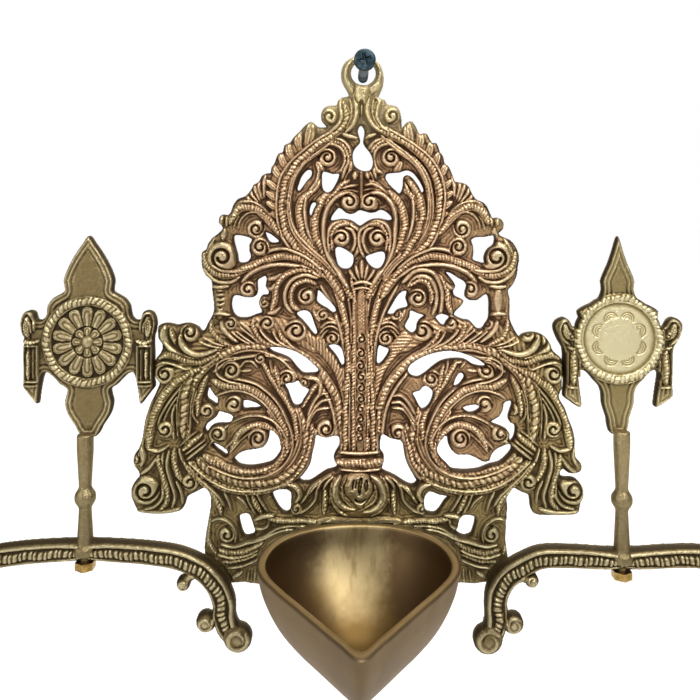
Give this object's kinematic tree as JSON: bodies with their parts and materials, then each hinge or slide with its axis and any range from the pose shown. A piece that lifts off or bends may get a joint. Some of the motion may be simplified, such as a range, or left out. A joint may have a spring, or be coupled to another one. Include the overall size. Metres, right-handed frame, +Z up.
{
  "type": "wall oil lamp",
  "caption": "Pierced cast-brass wall lamp that hangs from a screw by its ring, with a spouted oil bowl in front and an arm and medallion on each side.",
  "frame": {"origin": "on the wall plane, on the axis of the screw that the lamp's ring hangs from", "axes": "+X to the viewer's right, +Y into the wall, +Z up; the lamp's front faces -Y"},
  "size_m": [0.3384, 0.127, 0.2387],
  "materials": {
    "panel_brass": "cast brass with a reddish brown patina in the recesses and worn bright ridges",
    "bowl_brass": "smooth satin brass, lightly scratched",
    "arm_brass": "cast brass with an olive patina and a beaded face",
    "left_medallion_brass": "cast brass rosette with an olive patina",
    "right_medallion_brass": "pale polished brass dish with engraved lines",
    "fastener_brass": "plain turned brass",
    "plain_steel": "zinc plated",
    "black_steel": "blued black steel"
  },
  "bodies": {
    "wall_screw": {"wall_screw": "black_steel"},
    "lamp": {"back_panel": "panel_brass", "oil_bowl": "bowl_brass", "bowl_stud": "fastener_brass", "bowl_washer": "plain_steel", "bowl_nut": "plain_steel", "left_arm": "arm_brass", "left_arm_stud": "fastener_brass", "left_arm_washer": "plain_steel", "left_arm_nut": "plain_steel", "right_arm": "arm_brass", "right_arm_stud": "fastener_brass", "right_arm_washer": "plain_steel", "right_arm_nut": "plain_steel", "left_medallion": "left_medallion_brass", "left_stem": "arm_brass", "left_stem_nut": "fastener_brass", "left_link": "fastener_brass", "left_panel_rivet": "fastener_brass", "left_medallion_rivet": "fastener_brass", "right_medallion": "right_medallion_brass", "right_stem": "arm_brass", "right_stem_nut": "fastener_brass", "right_link": "fastener_brass", "right_panel_rivet": "fastener_brass", "right_medallion_rivet": "fastener_brass"}
  },
  "joints": [
    {"name": "lamp_swing", "type": "hinge", "parent": "wall_screw", "child": "lamp", "pos_m": [0, 0, 0], "axis": [0, 1, 0], "range_deg": [-12, 12]}
  ]
}
